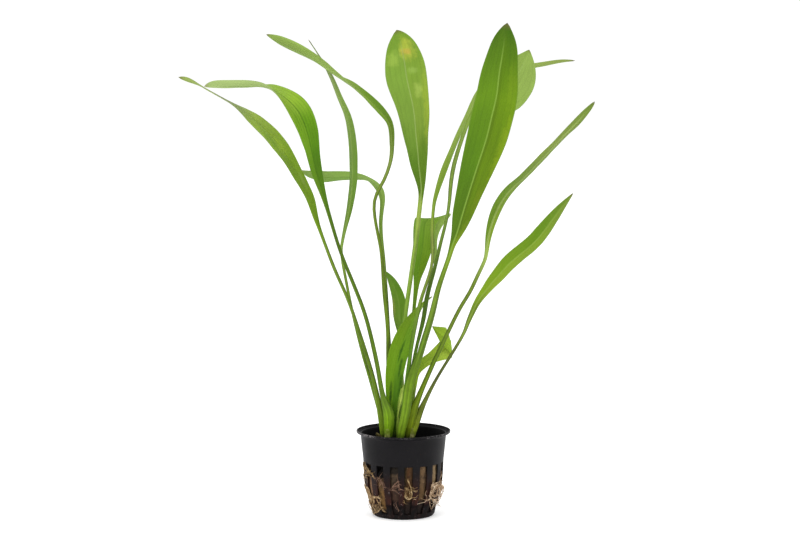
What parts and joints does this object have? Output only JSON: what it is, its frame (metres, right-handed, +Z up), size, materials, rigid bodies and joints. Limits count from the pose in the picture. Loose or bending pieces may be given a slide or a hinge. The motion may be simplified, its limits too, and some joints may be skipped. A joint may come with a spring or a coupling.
{
  "type": "potted aquarium sword plant",
  "caption": "Sword plant with long strap-shaped leaves on thin stalks, rooted in rock wool in a small round black slotted net pot that stands on its flat foot.",
  "frame": {"origin": "centre of the pot's flat underside, where it stands", "axes": "+Z up along the pot's axis; -Y is the side that the picture shows; +X to its right"},
  "size_m": [0.24, 0.0994, 0.2872],
  "materials": {
    "pot": "satin",
    "wool": "matte",
    "crown": "matte",
    "leaf": "satin",
    "old_leaf": "satin",
    "withered": "matte",
    "root": "matte"
  },
  "bodies": {
    "root": {"net_pot": "pot", "rock_wool": "wool", "crown": "crown", "leaf_far_left": "leaf", "leaf_left_twisted": "leaf", "leaf_top_left": "leaf", "leaf_needle_tip": "leaf", "leaf_left_flat": "leaf", "leaf_centre_broad": "leaf", "leaf_front_tall": "leaf", "leaf_back_right": "leaf", "leaf_back_sliver": "leaf", "leaf_right_upper": "leaf", "leaf_right_lower": "leaf", "leaf_folded_centre": "leaf", "leaf_small_left": "leaf", "leaf_young_centre": "leaf", "leaf_folded_right": "leaf", "old_leaf_stub_left": "old_leaf", "old_leaf_stub_right": "old_leaf", "withered_leaf_bit": "withered", "root_tuft_left_upper": "root", "root_tuft_left_lower": "root", "root_tuft_front": "root", "root_tuft_right": "root"}
  },
  "joints": []
}
